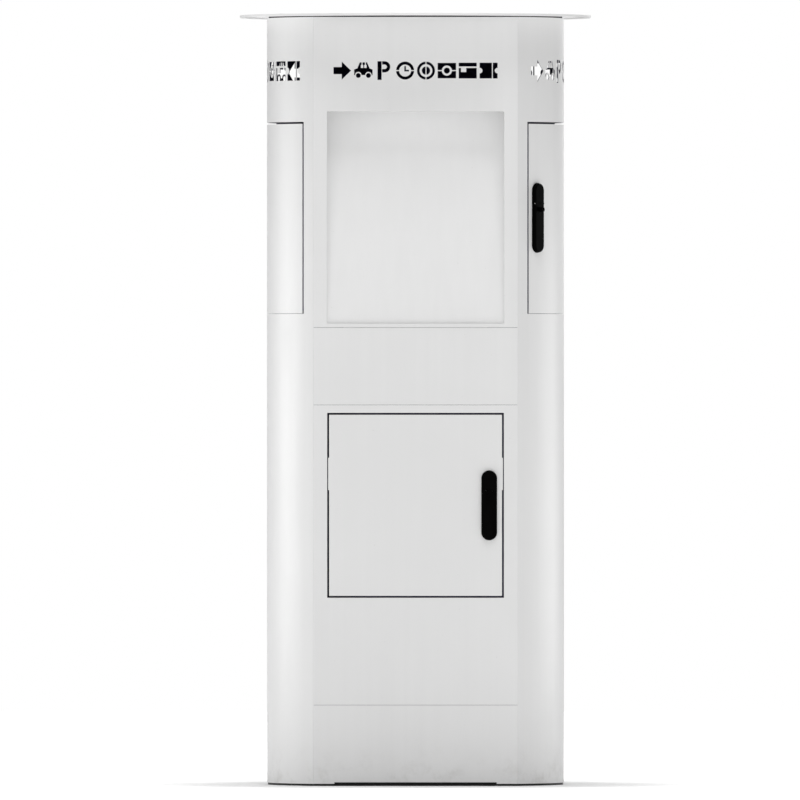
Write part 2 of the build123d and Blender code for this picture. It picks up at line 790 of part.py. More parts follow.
def folded_edges(x0, x1, z0, z1, face_y):
    relief = door_corner_relief
    deep = face_y + door_fold
    edges = [block(x0, x0 + sheet, face_y, deep, z0 + relief, z1 - relief)]
    edges.append(block(x1 - sheet, x1, face_y, deep, z0 + relief, z1 - relief))
    edges.append(block(x0 + relief, x1 - relief, face_y, deep, z0, z0 + sheet))
    edges.append(block(x0 + relief, x1 - relief, face_y, deep, z1 - sheet, z1))
    return edges


def front_handle_place():
    middle = (front_opening_bottom + front_opening_top) / 2
    return front_place(middle, front_door_box()[1] - handle_edge_distance)


def make_front_door():
    x0, x1, z0, z1 = front_door_box()
    door = block(x0, x1, facet_y, facet_y + sheet, z0, z1)
    for edge in folded_edges(x0, x1, z0, z1, facet_y):
        door += edge
    place = front_handle_place()
    door -= place * spindle_hole()
    rail_front = facet_y + door_fold
    rail_back = rail_front + sheet
    rail = block(x0 - rail_overhang, x1 + rail_overhang, rail_front, rail_back, rail_bottom, rail_top)
    for near, end in ((x0 - rail_overhang, x0), (x1, x1 + rail_overhang)):
        rail += block(near, end, facet_y, rail_back, rail_bottom, rail_top)
    rail -= place * spindle_hole()
    seal_back = facet_y + lip_depth - seal_clearance
    seal = block(x0, x1, rail_front, seal_back, z0, z1)
    seal -= block(x0 + seal_width, x1 - seal_width, rail_front - over, seal_back + over, z0 + seal_width,
                  z1 - seal_width)
    seal -= block(-far, far, rail_front - over, seal_back + over, rail_bottom - over, rail_top + over)
    parts["front_door_skin"] = door
    parts["front_door_lock_rail"] = rail
    parts["front_door_seal"] = seal
    brackets = [front_hinge_place(z) * hinge_bracket() for z in hinge_heights(z0, z1)]
    parts["front_door_hinge_brackets"] = Compound(children=brackets)
    make_handle("front_door", place, curved=False)


def make_side_doors():
    phi0, phi1 = side_door_phi()
    z0 = side_opening_bottom + side_gap_bottom
    z1 = side_opening_top - side_gap_top
    relief = door_corner_relief
    turn = arc_degrees(sheet)
    turn_relief = arc_degrees(relief)
    door = arc_wall(body_radius, sheet, phi0, phi1, z0, z1)
    door += arc_wall(body_radius, door_fold, phi0, phi0 + turn, z0 + relief, z1 - relief)
    door += arc_wall(body_radius, door_fold, phi1 - turn, phi1, z0 + relief, z1 - relief)
    door += arc_wall(body_radius, door_fold, phi0 + turn_relief, phi1 - turn_relief, z0, z0 + sheet)
    door += arc_wall(body_radius, door_fold, phi0 + turn_relief, phi1 - turn_relief, z1 - sheet, z1)
    handle_phi = phi0 + arc_degrees(handle_edge_distance)
    handle_z = (side_opening_bottom + side_opening_top) / 2
    place = surface_place(handle_phi, handle_z)
    door -= place * spindle_hole()
    seal_turn = arc_degrees(seal_width)
    seal_outer = body_radius - door_fold
    seal_depth = lip_depth - door_fold - seal_clearance
    seal = arc_wall(seal_outer, seal_depth, phi0, phi1, z0, z1)
    seal -= arc_wall(seal_outer + over, seal_depth + 2 * over, phi0 + seal_turn, phi1 - seal_turn,
                     z0 + seal_width, z1 - seal_width)
    inside = disc(body_radius - sheet, z0, z1)
    brackets = [(side_hinge_place(z) * hinge_bracket()) & inside for z in hinge_heights(z0, z1)]
    for name, turned in (("right_door", Pos(0, 0, 0)), ("left_door", Rot(0, 0, 180))):
        parts[f"{name}_skin"] = turned * door
        parts[f"{name}_seal"] = turned * seal
        parts[f"{name}_hinge_brackets"] = Compound(children=[turned * b for b in brackets])
        make_handle(name, turned * place, curved=True)


def make_hinge_arms():
    front_heights = hinge_heights(*front_door_box()[2:])
    side_heights = hinge_heights(side_opening_bottom + side_gap_bottom, side_opening_top - side_gap_top)
    arms = [front_hinge_arm(z) for z in front_heights]
    pins = [front_hinge_place(z) * hinge_pin() for z in front_heights]
    side_arms = [side_hinge_arm(z) for z in side_heights]
    side_pins = [side_hinge_place(z) * hinge_pin() for z in side_heights]
    arms += side_arms + [half_turn(arm) for arm in side_arms]
    pins += side_pins + [half_turn(pin) for pin in side_pins]
    parts["hinge_arms"] = Compound(children=arms)
    parts["hinge_pins"] = Compound(children=pins)


def make_stops():
    """Flat strips at the back of each opening's lips, none of them where a door's hinge edge swings in."""
    half = front_opening_half_width
    y0 = facet_y + lip_depth
    y1 = y0 + sheet
    hinge_end = -half + stop_clear_of_hinge
    low, high = front_opening_bottom, front_opening_top
    shorter = stop_width + stop_end_gap
    strips = [block(half - stop_width, half + sheet, y0, y1, low + shorter, high - shorter)]
    strips.append(block(hinge_end, half + sheet, y0, y1, low - sheet, low + stop_width))
    strips.append(block(hinge_end, half + sheet, y0, y1, high - stop_width, high + sheet))
    parts["front_door_stops"] = Compound(children=strips)
    low_phi = 90 - side_opening_half_angle
    high_phi = 90 + side_opening_half_angle - arc_degrees(stop_clear_of_hinge)
    lip = arc_degrees(sheet)
    outer = body_radius - lip_depth
    wide = arc_degrees(stop_width)
    low, high = side_opening_bottom, side_opening_top
    side = [arc_wall(outer, sheet, low_phi - lip, low_phi + wide, low + shorter, high - shorter)]
    side.append(arc_wall(outer, sheet, low_phi - lip, high_phi, low - sheet, low + stop_width))
    side.append(arc_wall(outer, sheet, low_phi - lip, high_phi, high - stop_width, high + sheet))
    parts["right_door_stops"] = Compound(children=side)
    parts["left_door_stops"] = Compound(children=[half_turn(strip) for strip in side])


def make_shelf():
    inset = lip_depth + sheet + shelf_clearance
    shelf = outline_slab(inset, shelf_z - shelf_fold, shelf_z + sheet)
    shelf -= outline_slab(inset + sheet, shelf_z - shelf_fold - over, shelf_z)
    half_slot = shelf_slot_width / 2
    slot_ends = shelf_slot_y - shelf_slot_depth / 2, shelf_slot_y + shelf_slot_depth / 2
    shelf -= block(-half_slot, half_slot, *slot_ends, shelf_z - over, shelf_z + sheet + over)
    parts["equipment_shelf"] = shelf
    cleats = []
    top = shelf_z - shelf_fold
    for phi in cleat_angles:
        ends = phi - cleat_half_angle, phi + cleat_half_angle
        cleat = arc_wall(body_radius - sheet, cleat_sheet, *ends, top - cleat_leg, top)
        cleat += arc_wall(body_radius - sheet, cleat_leg, *ends, top - cleat_sheet, top)
        cleats.append(cleat)
    parts["shelf_cleats"] = Compound(children=cleats)


def make_gear():
    top = shelf_z + sheet
    back = gear_plate_y

    def on_plate(x0, x1, depth, low, high):
        """A block that stands out from the plate's face by its depth, between heights above the shelf."""
        return block(x0, x1, back - depth, back, top + low, top + high)

    half = gear_plate_half_width
    plate = block(-half, half, back, back + sheet, top, top + gear_plate_height)
    parts["gear_plate"] = plate + block(-half, half, back, back + gear_plate_foot, top, top + sheet)

    half = controller_half_width
    box = on_plate(-half, half, controller_depth, controller_low, controller_high)
    box = fillet(box.edges().filter_by(Axis.Y), controller_round)
    slot_front = back - controller_depth - over
    slot_back = back - controller_depth + louvre_depth
    for row in range(louvre_count):
        low = top + louvre_low + row * louvre_pitch
        box -= block(-louvre_half_width, louvre_half_width, slot_front, slot_back, low, low + louvre_height)
    parts["controller"] = box

    supply = on_plate(supply_left, supply_right, supply_depth, supply_low, supply_high)
    parts["power_supply"] = fillet(supply.edges().filter_by(Axis.Y), supply_round)

    half = din_half_length
    rail = on_plate(-half, half, din_depth, din_low, din_high)
    rail -= on_plate(-half - over, half + over, din_depth - din_sheet, din_low + din_lip, din_high - din_lip)
    parts["din_rail"] = rail + on_plate(-half, half, din_sheet, din_low + din_lip, din_high - din_lip)
    modules = []
    for i in range(module_count):
        x = module_left + i * module_pitch
        module = on_plate(x, x + module_width, module_front, module_low, module_high)
        module -= on_plate(-half, half, din_depth, module_low - over, module_high + over)
        modules.append(chamfer(module.edges().filter_by(Axis.X).group_by(Axis.Y)[0], module_chamfer))
    parts["breakers"] = Compound(children=modules)


def main():
    make_base()
    make_roof()
    make_skins()
    make_rear()
    make_front_panels()
    make_fascia()
    make_front_door()
    make_side_doors()
    make_hinge_arms()
    make_stops()
    make_shelf()
    make_gear()
    os.makedirs("parts", exist_ok=True)
    for name, shape in parts.items():
        export_step(shape, f"parts/{name}.step")
    print(len(parts), "parts")


main()
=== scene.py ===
import json
import math

import bmesh
import bpy
import numpy as np
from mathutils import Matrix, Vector

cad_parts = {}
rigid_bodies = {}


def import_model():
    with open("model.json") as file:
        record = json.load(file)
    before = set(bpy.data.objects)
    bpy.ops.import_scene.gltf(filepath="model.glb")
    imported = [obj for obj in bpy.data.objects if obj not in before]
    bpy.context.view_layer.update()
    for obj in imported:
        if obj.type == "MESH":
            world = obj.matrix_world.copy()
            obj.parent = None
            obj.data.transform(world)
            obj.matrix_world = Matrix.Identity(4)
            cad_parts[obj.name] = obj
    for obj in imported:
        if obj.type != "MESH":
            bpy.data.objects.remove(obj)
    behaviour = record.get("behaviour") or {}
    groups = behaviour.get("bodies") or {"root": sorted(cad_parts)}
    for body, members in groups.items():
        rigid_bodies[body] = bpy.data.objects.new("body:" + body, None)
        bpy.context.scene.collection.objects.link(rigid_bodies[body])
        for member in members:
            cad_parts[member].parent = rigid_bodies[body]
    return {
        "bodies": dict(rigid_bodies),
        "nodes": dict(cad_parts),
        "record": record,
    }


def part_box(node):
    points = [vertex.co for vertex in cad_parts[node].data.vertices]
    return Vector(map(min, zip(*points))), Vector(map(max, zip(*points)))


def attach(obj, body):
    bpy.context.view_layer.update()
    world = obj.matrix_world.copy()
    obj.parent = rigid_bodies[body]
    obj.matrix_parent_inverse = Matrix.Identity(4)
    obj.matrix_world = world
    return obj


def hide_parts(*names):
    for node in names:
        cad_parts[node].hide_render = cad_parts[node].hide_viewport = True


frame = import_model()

# the start-up scene goes, the frame stays
framePieces = set(frame["bodies"].values()) | set(frame["nodes"].values())
for stray in list(bpy.data.objects):
    if stray not in framePieces:
        bpy.data.objects.remove(stray)
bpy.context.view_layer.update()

nodeBody = {node: body for body, nodes in frame["record"]["behaviour"]["bodies"].items() for node in nodes}
nodeSlot = {entry["node"]: entry["material_slot"] for entry in frame["record"]["subparts"]}
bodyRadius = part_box("rear_cover")[1].y                      # outside of the round skin
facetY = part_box("header_panel")[0].y                        # outside of the flat front


class Shade:
    # one socket of a node tree: + - * / and ** on it add Math nodes, node() adds any other node
    def __init__(self, tree, socket=None):
        self.tree = tree
        self.socket = socket

    def node(self, kind, settings=None, inputs=None, out=0):
        made = self.tree.nodes.new(kind)
        for name, value in (settings or {}).items():
            setattr(made, name, value)
        for key, value in (inputs or {}).items():
            if isinstance(value, Shade):
                self.tree.links.new(value.socket, made.inputs[key])
            else:
                made.inputs[key].default_value = value
        return Shade(self.tree, made.outputs[out] if len(made.outputs) else None)

    def join(self, operation, first, second):
        return self.node("ShaderNodeMath", {"operation": operation}, {0: first, 1: second})

    def __add__(self, other):
        return self.join("ADD", self, other)

    def __radd__(self, other):
        return self.join("ADD", other, self)

    def __sub__(self, other):
        return self.join("SUBTRACT", self, other)

    def __rsub__(self, other):
        return self.join("SUBTRACT", other, self)

    def __mul__(self, other):
        return self.join("MULTIPLY", self, other)

    def __rmul__(self, other):
        return self.join("MULTIPLY", other, self)

    def __truediv__(self, other):
        return self.join("DIVIDE", self, other)

    def __pow__(self, other):
        return self.join("POWER", self, other)

    def clamped(self):
        return self.node("ShaderNodeClamp", None, {"Value": self})

    def between(self, low, high):
        # 0 below low, 1 above high, smooth on the way
        return self.node("ShaderNodeMapRange", {"interpolation_type": "SMOOTHSTEP"},
                         {"Value": self, "From Min": low, "From Max": high})


def startMaterial(name):
    material = bpy.data.materials.new(name)
    material.use_nodes = True
    tree = material.node_tree
    tree.nodes.clear()
    base = Shade(tree)
    place = base.node("ShaderNodeTexCoord", None, None, "Object")
    return material, base, place


def noise(place, scale, detail=2.0, rough=0.5, stretch=(1.0, 1.0, 1.0)):
    # scale is in features a metre; stretch makes streaks
    mapped = place.node("ShaderNodeMapping", None, {"Vector": place, "Scale": stretch})
    return place.node("ShaderNodeTexNoise", None, {"Vector": mapped, "Scale": scale, "Detail": detail,
                                                    "Roughness": rough}, "Fac")


def mixColour(factor, first, second):
    return factor.node("ShaderNodeMix", {"data_type": "RGBA"}, {0: factor, 6: first, 7: second}, 2)


def colour(value, tint=(1.0, 1.0, 1.0)):
    return tuple(value * part for part in tint) + (1.0,)


def closeMaterial(material, base, sockets, bumps=()):
    normal = None
    for height, strength, distance in bumps:
        inputs = {"Height": height, "Strength": strength, "Distance": distance}
        if normal is not None:
            inputs["Normal"] = normal
        normal = base.node("ShaderNodeBump", None, inputs)
    if normal is not None:
        sockets["Normal"] = normal
    shader = base.node("ShaderNodeBsdfPrincipled", None, sockets)
    base.node("ShaderNodeOutputMaterial", None, {"Surface": shader})
    return material


coatPlan = {
    "tone": 0.74, "shadowTone": 0.705, "tint": (1.0, 1.0, 0.998), "dirt": (0.36, 0.345, 0.315, 1.0),
    "cloud": 1.7, "streaks": 0.25, "streakStretch": (46.0, 46.0, 0.9), "shadeFrom": 0.3, "shadeTo": 0.72,
    "peel": 420.0, "peelStrength": 0.28, "peelDepth": 0.00016,
    "grain": 1500.0, "grainStrength": 0.2, "grainDepth": 0.00005, "grainRough": 0.08,
    "rough": 0.38, "roughSpread": 0.16, "rubbed": 7.0, "rubbedStretch": (1.0, 1.0, 0.35), "specular": 0.42,
    "splashHeight": 0.13, "splashFade": 2.2, "splashAmount": 0.4, "splashRough": 0.25, "patch": 19.0,
    "fleck": 160.0, "fleckAmount": 0.2,
    # very dark primer for the inner faces: its blue is the inside's colour, its darkness is painted shade
    "inner": (0.030, 0.026, 0.075), "innerHigh": (0.042, 0.038, 0.105), "innerCloud": 23.0,
    "innerFrom": 0.0006, "innerTo": 0.0012, "innerRough": 0.22,
}


def depthBehindSkin(place):
    # metres behind the body's outer surface, from the round wall or the flat front, whichever is nearer
    flat = place.node("ShaderNodeVectorMath", {"operation": "MULTIPLY"}, {0: place, 1: (1.0, 1.0, 0.0)})
    radius = place.node("ShaderNodeVectorMath", {"operation": "LENGTH"}, {0: flat}, "Value")
    fromWall = bodyRadius - radius
    fromFront = place.node("ShaderNodeSeparateXYZ", None, {0: place}, 1) - facetY
    return place.join("MINIMUM", fromWall, fromFront)


def lightCoat(name, primerShadeInside=True, lift=1.0):
    # light powder coat: orange peel, faint clouding, rain streaks, and splash dirt near the floor
    # behind the outer surface it turns into a very dark blue primer, blue as the inside looks, its darkness
    # painted shade
    # lift above 1 gives a brighter copy of the same paint: painted light
    plan = coatPlan
    material, base, place = startMaterial(name)
    cloud = noise(place, plan["cloud"], 4.0, 0.55)
    streak = noise(place, 1.0, 3.0, 0.6, plan["streakStretch"])
    peel = noise(place, plan["peel"], 2.0, 0.45)
    grain = noise(place, plan["grain"], 1.0, 0.5)
    shade = cloud * (1.0 - plan["streaks"]) + streak * plan["streaks"]
    shade = shade.between(plan["shadeFrom"], plan["shadeTo"])
    shadow = colour(plan["shadowTone"] * lift, plan["tint"])
    paint = mixColour(shade, shadow, colour(plan["tone"] * lift, plan["tint"]))
    height = base.node("ShaderNodeSeparateXYZ", None, {0: place}, 2)
    splash = (1.0 - height / plan["splashHeight"]).clamped() ** plan["splashFade"]
    patch = noise(place, plan["patch"], 5.0, 0.68).between(0.46, 0.74)
    paint = mixColour(splash * patch * plan["splashAmount"], paint, plan["dirt"])
    fleck = noise(place, plan["fleck"], 2.0, 0.7).between(0.735, 0.76)
    paint = mixColour(fleck * plan["fleckAmount"], paint, plan["dirt"])
    rubbed = noise(place, plan["rubbed"], 6.0, 0.72, plan["rubbedStretch"]).between(0.5, 0.8)
    rough = plan["rough"] + rubbed * plan["roughSpread"] + splash * patch * plan["splashRough"]
    rough = rough + (grain - 0.5) * plan["grainRough"]
    if primerShadeInside:
        # painted shade: faces over a millimetre behind the outer surface go near black, so gaps, cut-outs and
        # the inside look dark
        inside = depthBehindSkin(place).between(plan["innerFrom"], plan["innerTo"])
        innerCloud = noise(place, plan["innerCloud"], 4.0, 0.6)
        primerPaintedShade = mixColour(innerCloud, colour(1.0, plan["inner"]), colour(1.0, plan["innerHigh"]))
        paint = mixColour(inside, paint, primerPaintedShade)
        rough = rough + inside * plan["innerRough"]
    sockets = {"Base Color": paint, "Roughness": rough.clamped(), "Specular IOR Level": plan["specular"]}
    return closeMaterial(material, base, sockets, [(peel, plan["peelStrength"], plan["peelDepth"]),
                                                   (grain, plan["grainStrength"], plan["grainDepth"])])


blackPlan = {"tone": 0.0006, "worn": 0.004, "rough": 0.5,
             "touch": 38.0, "touchAmount": 0.2, "touchRough": 0.12,
             "dust": 420.0, "dustAmount": 0.4, "dustRough": 0.12,
             "grain": 1900.0, "grainRough": 0.1, "strength": 0.35, "depth": 0.00007}


def blackCoat(name, lift, specular):
    # satin black coat on a die casting: fine texture, greasy touch marks and pale dust in the grain
    plan = blackPlan
    material, base, place = startMaterial(name)
    grain = noise(place, plan["grain"], 2.0, 0.6)
    touch = noise(place, plan["touch"], 4.0, 0.6, (1.0, 1.0, 0.5)).between(0.42, 0.7)
    dust = noise(place, plan["dust"], 3.0, 0.7).between(0.6, 0.78)
    wear = dust * plan["dustAmount"] + touch * plan["touchAmount"]
    paint = mixColour(wear, colour(plan["tone"] * lift), colour(plan["worn"] * lift))
    rough = plan["rough"] - touch * plan["touchRough"] + dust * plan["dustRough"]
    rough = rough + (grain - 0.5) * plan["grainRough"]
    sockets = {"Base Color": paint, "Roughness": rough, "Specular IOR Level": specular}
    return closeMaterial(material, base, sockets, [(grain, plan["strength"], plan["depth"])])


zincPlan = {"bright": 0.63, "dull": 0.43, "tint": (0.98, 1.0, 1.02), "spangle": 62.0, "bend": 30.0,
            "bendReach": 0.012, "feather": 700.0, "featherAmount": 0.2, "bloom": 9.0, "bloomTone": 0.6,
            "bloomAmount": 0.35, "metallic": 0.92, "rough": 0.36, "crystalRough": 0.16, "bloomRough": 0.18,
            "featherStrength": 0.12, "crystalStrength": 0.05, "depth": 0.00004}


def zincSheet(name):
    # galvanised sheet: crystal spangle, each crystal with its own brightness, and white bloom
    plan = zincPlan
    material, base, place = startMaterial(name)
    bent = noise(place, plan["bend"], 2.0, 0.5) * plan["bendReach"]
    shifted = place.node("ShaderNodeVectorMath", {"operation": "ADD"}, {0: place, 1: bent})
    cells = base.node("ShaderNodeTexVoronoi", {"voronoi_dimensions": "3D"},
                      {"Vector": shifted, "Scale": plan["spangle"]}, "Color")
    crystal = base.node("ShaderNodeSeparateColor", None, {0: cells}, 0)
    feather = noise(place, plan["feather"], 3.0, 0.7)
    bloom = noise(place, plan["bloom"], 5.0, 0.6).between(0.52, 0.78)
    grey = (crystal * (1.0 - plan["featherAmount"]) + feather * plan["featherAmount"]).clamped()
    metal = mixColour(grey, colour(plan["dull"], plan["tint"]), colour(plan["bright"], plan["tint"]))
    metal = mixColour(bloom * plan["bloomAmount"], metal, colour(plan["bloomTone"]))
    rough = plan["rough"] + crystal * plan["crystalRough"] + bloom * plan["bloomRough"]
    shiny = plan["metallic"] - bloom * plan["bloomAmount"]
    sockets = {"Base Color": metal, "Metallic": shiny, "Roughness": rough}
    return closeMaterial(material, base, sockets, [(feather, plan["featherStrength"], plan["depth"]),
                                                   (crystal, plan["crystalStrength"], plan["depth"])])


platedPlan = {"film": 55.0, "yellow": (0.60, 0.585, 0.50, 1.0), "violet": (0.55, 0.57, 0.62, 1.0),
              "metallic": 0.95, "rough": 0.3, "filmRough": 0.12, "pits": 2100.0, "pitRough": 0.08,
              "strength": 0.2, "depth": 0.00004}


def zincPlated(name):
    # zinc plated steel with a faint yellow and violet passivation film
    plan = platedPlan
    material, base, place = startMaterial(name)
    film = noise(place, plan["film"], 4.0, 0.55).between(0.3, 0.72)
    pits = noise(place, plan["pits"], 2.0, 0.6)
    rough = plan["rough"] + film * plan["filmRough"] + pits * plan["pitRough"]
    sockets = {"Base Color": mixColour(film, plan["yellow"], plan["violet"]), "Metallic": plan["metallic"],
               "Roughness": rough}
    return closeMaterial(material, base, sockets, [(pits, plan["strength"], plan["depth"])])


steelPlan = {"marks": (300.0, 300.0, 5200.0), "smear": 120.0, "dull": 0.52, "dullTint": (1.0, 0.99, 0.97),
             "bright": 0.68, "brightTint": (1.0, 1.0, 0.99), "rough": 0.2, "markRough": 0.14,
             "smearRough": 0.08, "strength": 0.12, "depth": 0.00003}


def turnedSteel(name):
    # stainless bar with turning marks across its length
    plan = steelPlan
    material, base, place = startMaterial(name)
    marks = noise(place, 1.0, 2.0, 0.5, plan["marks"])
    smear = noise(place, plan["smear"], 3.0, 0.5)
    dull = colour(plan["dull"], plan["dullTint"])
    metal = mixColour(smear, dull, colour(plan["bright"], plan["brightTint"]))
    rough = plan["rough"] + marks * plan["markRough"] + smear * plan["smearRough"]
    sockets = {"Base Color": metal, "Metallic": 1.0, "Roughness": rough}
    return closeMaterial(material, base, sockets, [(marks, plan["strength"], plan["depth"])])


rubberPlan = {"tone": 0.014, "rough": 0.72, "specular": 0.35,
              "talc": 70.0, "talcTone": 0.055, "talcTint": (1.0, 0.99, 0.96), "talcAmount": 0.5,
              "talcRough": 0.16, "pores": 1300.0, "strength": 0.5, "depth": 0.00016}


def rubberBlack(name):
    # closed-cell rubber: matt black skin with talc left in the pores
    plan = rubberPlan
    material, base, place = startMaterial(name)
    pores = noise(place, plan["pores"], 3.0, 0.65)
    talc = noise(place, plan["talc"], 4.0, 0.7).between(0.55, 0.8)
    dusty = colour(plan["talcTone"], plan["talcTint"])
    skin = mixColour(talc * plan["talcAmount"], colour(plan["tone"]), dusty)
    sockets = {"Base Color": skin, "Roughness": plan["rough"] + talc * plan["talcRough"],
               "Specular IOR Level": plan["specular"]}
    return closeMaterial(material, base, sockets, [(pores, plan["strength"], plan["depth"])])


enamelPlan = {"dimple": 380.0, "cloud": 14.0, "darker": 0.9, "lighter": 1.07, "rough": 0.34,
              "cloudRough": 0.14, "strength": 0.35, "depth": 0.0002}


def enamelCase(name, tone, tint):
    # hammered enamel on an equipment case
    plan = enamelPlan
    material, base, place = startMaterial(name)
    dimple = base.node("ShaderNodeTexVoronoi", {"feature": "SMOOTH_F1"},
                       {"Vector": place, "Scale": plan["dimple"]})
    cloud = noise(place, plan["cloud"], 3.0, 0.5).between(0.3, 0.7)
    paint = mixColour(cloud, colour(tone * plan["darker"], tint), colour(tone * plan["lighter"], tint))
    sockets = {"Base Color": paint, "Roughness": plan["rough"] + cloud * plan["cloudRough"]}
    return closeMaterial(material, base, sockets, [(dimple, plan["strength"], plan["depth"])])


plasticPlan = {"spark": 2400.0, "flow": 26.0, "flowStretch": (1.0, 1.0, 0.3), "darker": 0.95,
               "lighter": 1.03, "rough": 0.5, "flowRough": 0.1, "strength": 0.3, "depth": 0.00006}


def mouldedPlastic(name, tone, tint):
    # spark-textured moulding with a faint flow pattern
    plan = plasticPlan
    material, base, place = startMaterial(name)
    spark = noise(place, plan["spark"], 2.0, 0.6)
    flow = noise(place, plan["flow"], 3.0, 0.5, plan["flowStretch"]).between(0.3, 0.7)
    paint = mixColour(flow, colour(tone * plan["darker"], tint), colour(tone * plan["lighter"], tint))
    sockets = {"Base Color": paint, "Roughness": plan["rough"] + flow * plan["flowRough"]}
    return closeMaterial(material, base, sockets, [(spark, plan["strength"], plan["depth"])])


finishes = {
    "light_coat": lightCoat("lightPowderCoat"),
    # dark_coat: the black base; on the base ring and hinge arms it is painted shade that keeps the kick slot
    # and door gaps black
    "dark_coat": blackCoat("darkBaseCoatAndPaintedShade", 3.0, 0.2),
    "zinc_sheet": zincSheet("galvanisedSheet"),
    "zinc_steel": zincPlated("zincPlatedSteel"),
    "bright_steel": turnedSteel("turnedStainless"),
    "rubber": rubberBlack("cellRubber"),
    "gear_case": enamelCase("greyEnamel", 0.3, (0.97, 1.0, 1.03)),
    "module_plastic": mouldedPlastic("modulePlastic", 0.62, (1.0, 1.0, 0.98)),
    "lock_case": enamelCase("lockEnamel", 0.06, (1.0, 1.0, 1.04)),
    "black_coat": blackCoat("blackHandleCoat", 1.0, 0.02),
}
# painted light: a copy of the light coat 10 % brighter for the fascia plate, its recess and the roof cap, with
# no primer inside
paintedLightCoat = lightCoat("paintedLightCoatBothSides", primerShadeInside=False, lift=1.1)
bothSides = ("fascia_plate", "fascia_recess", "roof_cap")     # these show their light coat on every face
for nodeName, piece in frame["nodes"].items():
    piece.data.materials.clear()
    piece.data.materials.append(paintedLightCoat if nodeName in bothSides else finishes[nodeSlot[nodeName]])
print("finishes:", len(finishes))


def place3d(x, y, z):
    return np.stack(np.broadcast_arrays(x, y, z), axis=-1).astype(np.float64)


def gridMesh(name, points, closedRows=False, closedColumns=False, capped=False):
    # points[i, j] is a surface over two parameters; neighbours i, i + 1 and j, j + 1 make one face
    rows, columns = points.shape[:2]
    index = np.arange(rows * columns).reshape(rows, columns)
    down = np.roll(index, -1, axis=0) if closedRows else index[1:]
    top = index if closedRows else index[:-1]
    right = (lambda a: np.roll(a, -1, axis=1)) if closedColumns else (lambda a: a[:, 1:])
    left = (lambda a: a) if closedColumns else (lambda a: a[:, :-1])
    faces = np.stack([left(top), right(top), right(down), left(down)], axis=-1).reshape(-1, 4).tolist()
    if capped:
        faces.append(index[0][::-1].tolist())
        faces.append(index[-1].tolist())
    mesh = bpy.data.meshes.new(name)
    mesh.from_pydata(points.reshape(-1, 3).tolist(), [], faces)
    mesh.validate()
    return mesh


def fixNormals(mesh, merge=1e-6):
    shell = bmesh.new()
    shell.from_mesh(mesh)
    bmesh.ops.remove_doubles(shell, verts=shell.verts, dist=merge)
    bmesh.ops.recalc_face_normals(shell, faces=shell.faces)
    shell.to_mesh(mesh)
    shell.free()


def joinMeshes(name, meshes):
    shell = bmesh.new()
    for mesh in meshes:
        shell.from_mesh(mesh)
    joined = bpy.data.meshes.new(name)
    shell.to_mesh(joined)
    shell.free()
    return joined


def addPiece(name, mesh, body, slot, material=None, sharp=35.0, replaced=()):
    piece = bpy.data.objects.new(name, mesh)
    bpy.context.scene.collection.objects.link(piece)
    mesh.materials.clear()
    mesh.materials.append(material or finishes[slot])
    mesh.polygons.foreach_set("use_smooth", np.ones(len(mesh.polygons), dtype=bool))
    mesh.set_sharp_from_angle(angle=math.radians(sharp))
    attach(piece, body)
    if replaced:
        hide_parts(*replaced)
    return piece


edgePlan = {"width": 0.00035, "segments": 2, "angle": 32.0, "flat": 0.4, "merge": 2e-6, "sharp": 40.0}


def breakEdges(node):
    # a merged copy of the node, its cut edges rounded as by a deburring pass and a coat of paint
    mesh = frame["nodes"][node].data.copy()
    mesh.name = node + "_painted"
    shell = bmesh.new()
    shell.from_mesh(mesh)
    bmesh.ops.remove_doubles(shell, verts=shell.verts, dist=edgePlan["merge"])
    flat = math.radians(edgePlan["flat"])
    bmesh.ops.dissolve_limit(shell, angle_limit=flat, verts=shell.verts, edges=shell.edges)
    shell.to_mesh(mesh)
    shell.free()
    coat = paintedLightCoat if node in bothSides else None
    piece = addPiece(node + "_painted", mesh, nodeBody[node], nodeSlot[node], coat, edgePlan["sharp"],
                     [node])
    bevel = piece.modifiers.new("edge", "BEVEL")
    bevel.width = edgePlan["width"]
    bevel.segments = edgePlan["segments"]
    bevel.limit_method = "ANGLE"
    bevel.angle_limit = math.radians(edgePlan["angle"])
    bevel.use_clamp_overlap = False
    bevel.harden_normals = True


for nodeName in ("blank_panel", "kick_panel", "fascia_plate", "fascia_recess"):
    breakEdges(nodeName)
print("painted edges done")


gasketPlan = {"width": 0.009, "corner": 0.012, "cornerSteps": 8, "straightSteps": 24, "profileSteps": 14,
              "bulbHalf": 0.42, "foot": 0.22, "roundness": 0.8, "foldDepth": 0.016, "bulbDepth": 0.0057}


def bulbProfile():
    # a foot as wide as the strip with a round bulb on it: half a circle stretched to the depth
    plan = gasketPlan
    angle = np.linspace(0.0, math.pi, plan["profileSteps"])
    bulb = plan["foot"] + (1.0 - plan["foot"]) * np.sin(angle) ** plan["roundness"]
    across = np.concatenate([[-0.5], plan["bulbHalf"] * -np.cos(angle), [0.5]]) * plan["width"]
    return across, np.concatenate([[0.0], bulb, [0.0]]) * plan["bulbDepth"]


